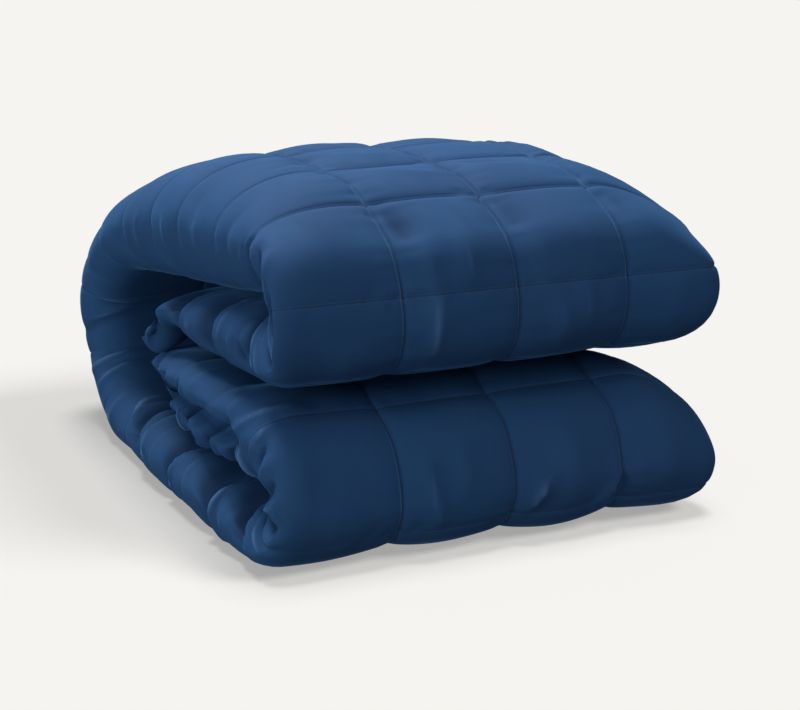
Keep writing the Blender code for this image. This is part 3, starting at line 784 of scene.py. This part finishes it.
        crest = self.right_crest + (self.right_fold_crest - self.right_crest) * fold
        height = np.where(inner, crest, 1 - crest)
        reach = np.where(inner, self.right_inner_reach * (1 + fold), row["right_reach"])
        roundness = np.where(inner, 2.0, self.right_roundness - self.right_droop * upward)
        length = row["right"] - (PANELS - 2.0)
        inward, up = face_profile(np.clip(PANELS - across, 0, 1), reach, height * rise, roundness, length)
        right_x, right_w = row["right"] - inward, crest + side * height * up

        x = np.where(across < 1, left_x, np.where(across > PANELS - 1, right_x, across - 1))
        w = np.where(across < PANELS / 2, left_w, right_w)
        lean = self.front_lean * x * bell(row["out_y"], self.front_reach)
        y = row["in_y"] + (row["out_y"] - row["in_y"]) * w - lean
        z = row["in_z"] + (row["out_z"] - row["in_z"]) * w
        return np.stack([x, y, z], axis=-1)

    def face_share(self, share: float) -> Array:
        """Give 1 on the outer face and a share on the inner one, changing smoothly round the ends.

        Args:
            share: The inner face's share.

        Returns:
            The shares, one for each place around.
        """
        start, reach = self.inner_turn
        beyond = np.minimum(self.around - PANELS, 2 * PANELS - self.around)
        turn = np.clip((beyond - start) / reach, 0, 1)
        return (1 - (1 - share) * turn**2 * (3 - 2 * turn))[None, :]

    def lost_lines(self) -> Array:
        """Say how far the lines are lost among the folds at the left end of the run on the floor.

        It's exp(-(distance / reach)^4) along the strip times a bell round it.

        Returns:
            Shares, places along by places around.
        """
        run = np.exp(-(((self.along - self.lost_middle[0]) / self.lost_reach[0]) ** 4))[:, None]
        return self.lost_share * run * bell(self.signed_around - self.lost_middle[1], self.lost_reach[1])

    def sewn_relief(self) -> Array:
        """Find how far the sewn squares lie below the envelope.

        A crown is the sine of the place in its square, to a power below 1, so the square is full and
        its line narrow. The hems and the strip's crests have no line.

        Returns:
            The depths, places along by places around.
        """
        across = np.abs(np.sin(math.pi * self.along))[:, None] ** self.crown_power
        across = np.where(self.from_hem < LINELESS, 1.0, across)
        along = np.abs(np.sin(math.pi * self.around))[None, :] ** self.crown_power
        near_crest = np.abs(self.around % PANELS - PANELS / 2)[None, :] > PANELS / 2 - LINELESS
        along_share = np.where(near_crest, 0.0, 1.0)
        at_crest = np.abs(np.cos(math.pi * self.around / PANELS))[None, :] ** self.crest_power
        cross_share = self.cross_share * (1 - (1 - self.crest_share) * at_crest)
        cross_share = cross_share * (1 - self.fold_ease * self.row["fold"])
        faint = self.faint_ease * bell(self.along - self.faint_line, self.faint_width)
        cross_share = cross_share * (1 - faint)[:, None]
        crown = (1 - cross_share * (1 - across)) * (1 - along_share * (1 - along))
        eased = 1 - self.row["fold"] * (1 - self.face_share(0.0))
        shares = self.face_share(self.inner_share) * eased * (1 - self.lost_lines())
        return self.sewn_depth * shares * (1 - crown)

    def slow_drift(self, random: np.random.Generator) -> Array:
        """Add up a few long waves that close round the strip.

        Args:
            random: Where the waves' directions and phases come from.

        Returns:
            Heights from about -1 to 1, places along by places around.
        """
        waves = np.zeros((len(self.along), len(self.around)))
        for turns in self.drift_turns:
            pitch = random.uniform(*self.drift_pitch)
            phase, other = random.uniform(0, 2 * math.pi, 2)
            along = np.sin(2 * math.pi * pitch * self.along + phase)[:, None]
            around = np.sin(math.pi * turns * self.around / PANELS + other)[None, :]
            waves += along * around * self.drift_share
        return waves

    def uneven_crowns(self, random: np.random.Generator) -> Array:
        """Make each square a little fuller or flatter, and fullest off its middle.

        Args:
            random: Where each square's share comes from.

        Returns:
            Heights that are 0 on every sewn line.
        """
        shares = random.uniform(-1.0, 1.0, (int(ROWS[-1].square) + 1, 2 * PANELS))
        tilts = random.uniform(-self.fullness_skew, self.fullness_skew, shares.shape)
        row, column = np.floor(self.along).astype(int), np.floor(self.around).astype(int) % (2 * PANELS)
        crown = np.sin(math.pi * self.along)[:, None] ** 2 * np.sin(math.pi * self.around)[None, :] ** 2
        skew = tilts[row][:, column] * np.cos(math.pi * (self.along % 1))[:, None]
        return crown * (shares[row][:, column] + skew)

    def line_gathers(self, random: np.random.Generator) -> Array:
        """Gather the cloth in small uneven waves beside the lines that run along the strip.

        Args:
            random: Where the waves' phases come from.

        Returns:
            Heights that are largest a finger's width from a line and 0 on it.
        """
        phases = random.uniform(0, 2 * math.pi, (len(self.gather_pitches), 2 * PANELS))
        column = np.round(self.around).astype(int) % (2 * PANELS)
        place = self.along[:, None]
        waves = np.zeros((len(self.along), len(self.around)))
        for pitch, phase in zip(self.gather_pitches, phases):
            waves += np.sin(2 * math.pi * pitch * place + phase[column][None, :]) / len(phases)
        gap = off_line(self.around)[None, :] / self.gather_reach
        sewn = np.where(column % PANELS == 0, 0.0, 1.0)[None, :]
        return sewn * waves * gap * np.exp(1 - gap)

    def creased(self) -> Array:
        """Add up the listed creases.

        A crease's height is exp(-sqrt(d^2 + k)) across it, where d is the distance over the width and k
        says how blunt it is. The width may differ on the two sides, and a lap has a raised lip on its
        steep side. Along it, the height follows the root of a half sine.

        Returns:
            Heights, places along by places around.
        """
        along, around = self.along[:, None], self.signed_around
        total = np.zeros((len(self.along), len(self.around)))
        for crease in CREASES:
            run = np.array([crease.to_along - crease.along, crease.to_around - crease.around])
            length = float(np.hypot(*run))
            off_along = along - crease.along
            off_around = (around - crease.around + PANELS) % (2 * PANELS) - PANELS
            t = (off_along * run[0] + off_around * run[1]) / length**2
            across = (off_around * run[0] - off_along * run[1]) / length
            inside = np.clip(t, 0, 1)
            across = across - crease.bow * np.sin(math.pi * inside)
            beyond = np.abs(t - inside) * length
            width = crease.width * (1 + crease.lean * np.tanh(across / crease.width))
            blunt = crease.form.blunt
            shape = np.exp(math.sqrt(blunt) - np.sqrt((across / width) ** 2 + blunt))
            if crease.form is LAP:
                off_lip = across + math.copysign(LIP_PLACE, crease.lean) * crease.width
                shape -= LIP_SHARE * bell(off_lip, LIP_WIDTH * crease.width)
            shape *= bell(beyond, crease.width)
            ends = np.sqrt(np.sin(math.pi * np.clip(t, CREASE_END, 1 - CREASE_END)))
            total += crease.form.sign * crease.height * shape * ends
        return total

    def shaped_hems(self, points: Array) -> Array:
        """Round the hems' corners, and let the left corner of the inner hem droop and pucker.

        Each change is a bell along the strip times one round it, and the puckers are sines.

        Args:
            points: The surface's points.

        Returns:
            The points, moved near the hems.
        """
        along, around = self.along[:, None], self.signed_around
        rounding = bell(self.from_hem, self.hem_reach)
        left_shift = np.where(along < 1.0, *self.hem_shifts)
        from_right = np.minimum(np.abs(around - PANELS), np.abs(around + PANELS))
        points[..., 0] += left_shift * rounding * bell(around, self.hem_shift_width)
        points[..., 0] += self.hem_right_shift * rounding * bell(from_right, self.hem_right_width)
        pucker = bell(along, self.pucker_reach[0]) * bell(around, self.pucker_reach[1])
        for axis, wave in enumerate(self.puckers):
            points[..., axis] += wave.height * pucker * np.sin(wave.turns * around + wave.phase)
        corner = bell(along, self.corner_reach[0]) * bell(around, self.corner_reach[1])
        points[..., 2] -= self.corner_drop * corner
        return points

    def surface(self) -> Array:
        """Work out every ring of the blanket.

        Returns:
            The points in metres, with the hems' rounded caps as the first and last rings.
        """
        random = np.random.default_rng(self.seed)
        envelope = self.envelope()
        uneven = self.drift * self.slow_drift(random)
        uneven += self.fullness * self.uneven_crowns(random)
        uneven += self.gathers * self.line_gathers(random)
        outward = self.creases - self.sewn_relief() + uneven * self.face_share(self.inner_share)
        points = self.shaped_hems(envelope + grid_normals(envelope) * outward[..., None])
        points = points + self.settled(points)
        back, front = points[::-1][: self.cap_rings], points[: self.cap_rings]
        points = np.concatenate([self.hem_cap(front)[::-1], points, self.hem_cap(back)])
        points = (points - (MIDDLE_X, MIDDLE_Y, 0.0)) * SQUARE
        points[..., 2] = np.maximum(points[..., 2], 0.0)
        return points

    def free_share(self) -> Array:
        """Say how freely the cloth may settle.

        Returns:
            Shares, places along by places around: small between layers, at the left end and at the
            hems, and 1 elsewhere on the outer face.
        """
        around, edge = self.signed_around, self.hold_edge
        first, last = self.hidden_around
        covered = np.clip((around - first) / edge, 0, 1) * np.clip((last - around) / edge, 0, 1)
        buried = (self.along < self.hidden_squares[0]) | (self.along > self.hidden_squares[1])
        hidden = np.where(buried[:, None], 1 - self.hidden_hold * covered, 1.0)
        left_end = 1 - self.left_hold * bell(around, self.left_hold_width)
        hem = np.clip(self.from_hem / edge, edge, 1)
        return self.face_share(self.free_inner) * left_end * hidden * hem

    def settling_cloth(self, points: Array) -> bpy.types.Object:
        """Make a tube of cloth that is blown up and held on the sewn lines.

        Args:
            points: Its points, rings by columns by 3, every second one of the surface's.

        Returns:
            The cloth, with its modifier.
        """
        rings, columns = points.shape[:2]
        ring, column = tube_corners(rings, columns)
        quads = (ring * columns + column % columns).reshape(-1, 4)
        cloth = meshed("settling_cloth", points, quads.tolist())
        sewn = np.zeros((rings, columns), dtype=bool)
        sewn[:: self.steps_along // 2] = True
        for line in LONG_LINES:
            sewn[:, self.column(line) // 2] = True
        held = cloth.vertex_groups.new(name="sewn_lines")
        held.add(np.flatnonzero(sewn).tolist(), 1.0, "REPLACE")
        modifier = cloth.modifiers.new("settle", "CLOTH")
        settings = modifier.settings
        settings.vertex_group_mass = held.name
        settings.use_pressure = True
        settings.effector_weights.gravity = 0.0
        for name, value in self.cloth_settings:
            setattr(settings, name, value)
        modifier.collision_settings.use_collision = False
        modifier.point_cache.frame_end = self.settle_frames
        return cloth

    def settled(self, points: Array) -> Array:
        """Let the filled cloth swell and wrinkle between its sewn lines.

        Every second ring and column becomes a tube of cloth, a little larger than its sewn outline.
        Where each point moves to is capped by cap * tanh(distance / cap), and read back onto the full
        grid by cubic curves.

        Args:
            points: The surface's points.

        Returns:
            How far each point moves.
        """
        start = np.ascontiguousarray(points[::2, ::2])
        cloth = self.settling_cloth(start)
        for number in range(1, self.settle_frames + 1):
            bpy.context.scene.frame_set(number)
        evaluated = cloth.evaluated_get(bpy.context.evaluated_depsgraph_get())
        ended = np.empty(start.size, dtype=np.float32)
        evaluated.data.vertices.foreach_get("co", ended)
        bpy.data.objects.remove(cloth, do_unlink=True)
        bpy.context.scene.frame_set(1)
        moved = ended.reshape(start.shape).astype(float) - start
        distance = np.linalg.norm(moved, axis=-1, keepdims=True)
        LOG.info("cloth settled by up to %.3f squares, %.3f on average", distance.max(), distance.mean())
        moved *= self.swell * np.tanh(distance / self.swell) / np.maximum(distance, NEARLY_NOTHING)
        return self.refined(moved) * self.free_share()[..., None]

    @staticmethod
    def refined(moved: Array) -> Array:
        """Double a grid's rings and columns, with new ones at (-1, 9, 9, -1) / 16 of their neighbours.

        Args:
            moved: Values on a grid that is open along its first axis and closed round its second.

        Returns:
            Values on the grid with one more ring and column between each two.
        """
        between = (9 * (moved + np.roll(moved, -1, 1)) - np.roll(moved, 1, 1) - np.roll(moved, -2, 1)) / 16
        wide = np.stack([moved, between], axis=2).reshape(len(moved), -1, 3)
        padded = np.concatenate([wide[:1], wide, wide[-1:]])
        between = (9 * (padded[1:-2] + padded[2:-1]) - padded[:-3] - padded[3:]) / 16
        fine = np.empty((2 * len(wide) - 1, wide.shape[1], 3))
        fine[::2], fine[1::2] = wide, between
        return fine

    def hem_cap(self, rings: Array) -> Array:
        """Round a hem off with a quarter turn, flattened to its middle line.

        Args:
            rings: The face's rings at the hem, the hem's own first.

        Returns:
            The cap's rings, from the hem outwards.
        """
        ring = rings[0]
        towards = unit(ring.mean(axis=0) - rings[-1].mean(axis=0))
        middle = (ring + np.roll(ring[::-1], 1, axis=0)) / 2
        turn = self.cap_turn * np.arange(1, self.cap_rings + 1)[:, None, None] / self.cap_rings
        return middle + (ring - middle) * np.cos(turn) + towards * self.hem_round * np.sin(turn)

    def faces(self) -> tuple[Array, Array]:
        """Join the rings by quads, and close each end ring by a strip of quads.

        Returns:
            The corners of every quad, and their places as (around, along) in squares.
        """
        rings, count = self.points.shape[:2]
        ring, column = tube_corners(rings, count)
        quads = (ring * count + column % count).reshape(-1, 4)
        around = np.append(self.around, 2.0 * PANELS)[column]
        cap = self.cap_pitch * np.arange(1, self.cap_rings + 1)
        along = np.concatenate([self.along[0] - cap[::-1], self.along, self.along[-1] + cap])
        places = np.stack([around, along[ring]], axis=-1).reshape(-1, 4, 2)
        strip = np.arange(1, count // 2 - 1)
        close = np.stack([strip, strip + 1, count - strip - 1, count - strip], axis=-1)
        ends, end_places = [], []
        for corners, base, place in ((close[:, ::-1], 0, along[0]), (close, (rings - 1) * count, along[-1])):
            ends.append(corners + base)
            end_places.append(np.stack([self.around[corners], np.full(corners.shape, place)], axis=-1))
        return np.concatenate([quads, *ends]), np.concatenate([places, *end_places])

    def end_triangles(self) -> list[list[int]]:
        """Close the two tips that each end strip leaves.

        Returns:
            The corners of the four triangles.
        """
        rings, count = self.points.shape[:2]
        half, base = count // 2, (rings - 1) * count
        first = [[1, 0, count - 1], [half, half - 1, half + 1]]
        return first + [[base + corner for corner in corners[::-1]] for corners in first]

    def sewn_mask(self) -> Array:
        """Mark the sewn lines, each a bell about 3 mm wide, and less where it's lost; the finish paints shade
        in them and a highlight beside them.

        Returns:
            1 in a line across the strip, a little less in one along it, and 0 away from them.
        """
        across = np.where(self.from_hem < LINELESS, 1.0, off_line(self.along)[:, None])
        at_crest = np.round(self.around) % PANELS == 0
        along = np.where(at_crest, 1.0, off_line(self.around))[None, :]
        lines = np.maximum(bell(across, self.line_width), self.long_line * bell(along, self.line_width))
        return lines * (1 - self.lost_lines())

    def painted_rim_mask(self) -> Array:
        """Mark the painted highlight rims on the left of the lines along the strip.

        Returns:
            1 in a rim on a fold's front, less elsewhere, and 0 away from the rims.
        """
        to_line = np.round(self.around) - self.around
        leftward = np.where(self.around < PANELS, to_line, -to_line)
        at_crest = np.round(self.around) % PANELS == 0
        beside = np.where(at_crest, 0.0, bell(leftward - self.painted_rim_place, self.painted_rim_width))[None, :]
        fronts = self.painted_rim_share + (1 - self.painted_rim_share) * np.clip(self.row["fold"], 0, 1)
        return beside * fronts * (1 - self.lost_lines())

    def build(self, finish: Microfibre) -> bpy.types.Object:
        """Make the blanket's mesh, with its UV map in metres and the attributes that its finish reads.

        Args:
            finish: The cloth.

        Returns:
            The blanket.
        """
        quads, places = self.faces()
        faces = quads.tolist() + self.end_triangles()
        blanket = meshed("quilted_microfibre_blanket", self.points, faces)
        mesh = blanket.data
        uv = np.zeros((len(mesh.loops), 2))
        uv[: quads.size] = places.reshape(-1, 2) * SQUARE
        mesh.uv_layers.new(name="cloth").data.foreach_set("uv", uv.ravel())
        # the finish paints highlights on raised creases and shade in their troughs from the crease heights in
        # nap, shade in and highlights beside the lines from sewn, and highlights from the rim mask
        masks = {"sewn": self.sewn_mask(), "painted_rim": self.painted_rim_mask(), "nap": self.creases}
        for name, values in masks.items():
            attribute = mesh.attributes.new(name, "FLOAT", "POINT")
            attribute.data.foreach_set("value", self.capped(values).ravel())
        mesh.shade_smooth()
        mesh.materials.append(finish.build())
        return blanket


@dataclass
class Quilting:
    """The lines of lockstitch that quilt the squares. Sizes are in metres."""

    stitch: float = 0.0030
    gap: float = 0.0016
    thickness: float = 0.00045
    lift: float = -0.00010  # pulled into the cloth

    def build(self, cloth: QuiltedBlanket, finish: Thread) -> bpy.types.Object:
        """Lay a stitch at every pitch along every sewn line.

        Args:
            cloth: The blanket that the lines are sewn in.
            finish: The thread.

        Returns:
            All the stitches as one mesh.
        """
        points = cloth.points[cloth.cap_rings : -cloth.cap_rings]
        normals = grid_normals(points)
        runs = []
        for line in LONG_LINES:
            column = cloth.column(line)
            runs.append((points[:, column], normals[:, column]))
        closed = np.append(np.arange(len(cloth.around)), 0)
        for ring in range(cloth.steps_along, len(cloth.along) - 1, cloth.steps_along):
            runs.append((points[ring, closed], normals[ring, closed]))
        vertices = np.concatenate([self.stitches(line, normal) for line, normal in runs])
        sides = [[side, (side + 1) % 4, (side + 1) % 4 + 4, side + 4] for side in range(4)]
        prism = np.array([*sides, [3, 2, 1, 0], [4, 5, 6, 7]])
        faces = (np.arange(len(vertices) // 8)[:, None, None] * 8 + prism).reshape(-1, 4)
        stitches = meshed("quilting_stitches", vertices, faces.tolist())
        stitches.data.shade_smooth()
        stitches.data.materials.append(finish.build())
        return stitches

    def stitches(self, line: Array, normal: Array) -> Array:
        """Find the corners of the stitches along one line.

        Each stitch is a prism of four sides between two places on the line, which is read by arc
        length.

        Args:
            line: The sewn line's points.
            normal: The cloth's normals there.

        Returns:
            Eight corners for each stitch.
        """
        steps = np.linalg.norm(np.diff(line, axis=0), axis=1)
        arc = np.concatenate([[0.0], steps.cumsum()])
        starts = np.arange(self.gap, arc[-1] - self.stitch, self.stitch + self.gap)

        def at(places: Array, values: Array) -> Array:
            """Read a column of values at places along the line."""
            return np.stack([np.interp(places, arc, values[:, axis]) for axis in range(3)], axis=-1)

        up = unit(at(starts + self.stitch / 2, normal))
        ends = (at(starts, line), at(starts + self.stitch, line))
        aside = np.cross(unit(ends[1] - ends[0]), up)
        half = self.thickness / 2
        corners = []
        for end in ends:
            middle = end + up * self.lift
            corners += [middle + half * (a * aside + b * up) for a, b in ((-1, 0), (0, -1), (1, 0), (0, 1))]
        return np.stack(corners, axis=1).reshape(-1, 3)


class Sun(NamedTuple):
    """A soft distant light: degrees right of the front and above the floor, irradiance, and angle filled."""

    name: str
    azimuth: float
    elevation: float
    strength: float
    softness: float


@dataclass(frozen=True)
class PaleFloor:
    """A matt pale finish for the floor, with a glow that keeps it even."""

    name: str = "pale_floor"
    colour: Colour = (0.50, 0.493, 0.475)
    glow: float = 0.73

    def build(self) -> bpy.types.Material:
        """Make the material.

        Returns:
            The material.
        """
        material = bpy.data.materials.new(self.name)
        material.use_nodes = True
        shader = material.node_tree.nodes["Principled BSDF"]
        dial(shader, {"Base Color": self.colour, "Roughness": 1.0, "Specular IOR Level": 0.0})
        dial(shader, {"Emission Color": self.colour, "Emission Strength": self.glow})
        return material


@dataclass
class Studio:
    """A plain pale floor, soft light from above and the camera. Sizes are in metres."""

    azimuth: float = -26.0  # of the camera, in degrees, as a light's are
    elevation: float = 14.8
    lens: float = 73.24  # focal length, millimetres
    camera_place: tuple[float, float, float] = (-0.6302, -1.3457, 0.4927)
    sight: float = 200.0  # how far the camera sees
    floor_side: float = 80.0
    floor_drop: float = 0.0002
    world_colour: Colour = (0.93, 0.96, 1.0)
    world_strength: float = 0.095
    blanket_suns: tuple[Sun, ...] = (
        Sun("back_light", 178.0, 56.0, 5.0, 28.0),
        Sun("right_light", 62.0, 35.0, 0.50, 20.0),
        Sun("front_fill", -8.0, 37.0, 0.74, 50.0),
        Sun("left_fill", -84.0, 8.0, 1.60, 36.0),
        Sun("floor_bounce", -58.0, -30.0, 0.27, 60.0),
    )
    floor_suns: tuple[Sun, ...] = (
        Sun("floor_overhead", 60.0, 86.0, 1.90, 22.0),
        Sun("floor_right", 40.0, 43.0, 1.90, 24.0),
    )

    def build_floor(self) -> bpy.types.Object:
        """Lay the floor just under the blanket, so that it only catches the shadow.

        Returns:
            The floor.
        """
        signs = np.array([(-1, -1, 0), (1, -1, 0), (1, 1, 0), (-1, 1, 0)])
        corners = signs * self.floor_side / 2 - (0.0, 0.0, self.floor_drop)
        floor = meshed("floor", corners, [[0, 1, 2, 3]])
        floor.data.materials.append(PaleFloor().build())
        floor.visible_diffuse = False
        floor.visible_glossy = False
        floor.visible_shadow = False
        return floor

    def add_sun(self, sun: Sun, lit: bpy.types.Collection) -> None:
        """Add a soft sun that shines on one collection alone.

        Args:
            sun: The light.
            lit: What it lights.
        """
        light = bpy.data.lights.new(sun.name, "SUN")
        light.energy = sun.strength
        light.angle = math.radians(sun.softness)
        lamp = linked(sun.name, light)
        lamp.rotation_euler = self.facing(sun.azimuth, sun.elevation)
        lamp.light_linking.receiver_collection = lit

    @staticmethod
    def facing(azimuth: float, elevation: float) -> Euler:
        """Work out how a light or a camera is turned to face the blanket.

        Args:
            azimuth: Degrees right of the front that it stands at.
            elevation: Degrees above the floor that it stands at.

        Returns:
            Its rotation.
        """
        turn, tilt = math.radians(azimuth), math.radians(elevation)
        back = Vector((math.sin(turn) * math.cos(tilt), -math.cos(turn) * math.cos(tilt), math.sin(tilt)))
        return back.to_track_quat("Z", "Y").to_euler()

    def build(self, pieces: list[bpy.types.Object]) -> None:
        """Make the floor, the lights, the world and the camera.

        Args:
            pieces: The blanket's pieces, which have lights of their own.
        """
        floor = self.build_floor()
        lighting = {"on_blanket": (pieces, self.blanket_suns), "on_floor": ([floor], self.floor_suns)}
        for name, (lit, suns) in lighting.items():
            collection = bpy.data.collections.new(name)
            for thing in lit:
                collection.objects.link(thing)
            for sun in suns:
                self.add_sun(sun, collection)
        world = bpy.data.worlds.new("studio")
        world.use_nodes = True
        shade = world.node_tree.nodes["Background"]
        dial(shade, {"Color": self.world_colour, "Strength": self.world_strength})
        bpy.context.scene.world = world
        bpy.context.scene.view_settings.view_transform = "Standard"
        lens = bpy.data.cameras.new("camera")
        lens.lens = self.lens
        lens.clip_end = self.sight
        camera = linked("camera", lens)
        camera.location = self.camera_place
        camera.rotation_euler = self.facing(self.azimuth, self.elevation)
        bpy.context.scene.camera = camera


def remove_startup_objects() -> None:
    """Remove the objects that a new scene starts with."""
    for name in ("Cube", "Light", "Camera"):
        found = bpy.data.objects.get(name)
        if found is not None and "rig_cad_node" not in found:
            bpy.data.objects.remove(found, do_unlink=True)


def main() -> None:
    """Build the blanket and its studio, and report each piece."""
    logging.basicConfig(level=logging.INFO, format="%(name)s: %(message)s")
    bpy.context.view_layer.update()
    remove_startup_objects()
    cloth = QuiltedBlanket()
    blanket = cloth.build(Microfibre())
    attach(blanket, "root")
    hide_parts("quilted_blanket")
    LOG.info("%s: %d faces", blanket.name, len(blanket.data.polygons))
    stitches = Quilting().build(cloth, Thread())
    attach(stitches, "root")
    LOG.info("%s: %d faces", stitches.name, len(stitches.data.polygons))
    Studio().build([blanket, stitches])


if __name__ == "__main__":
    main()
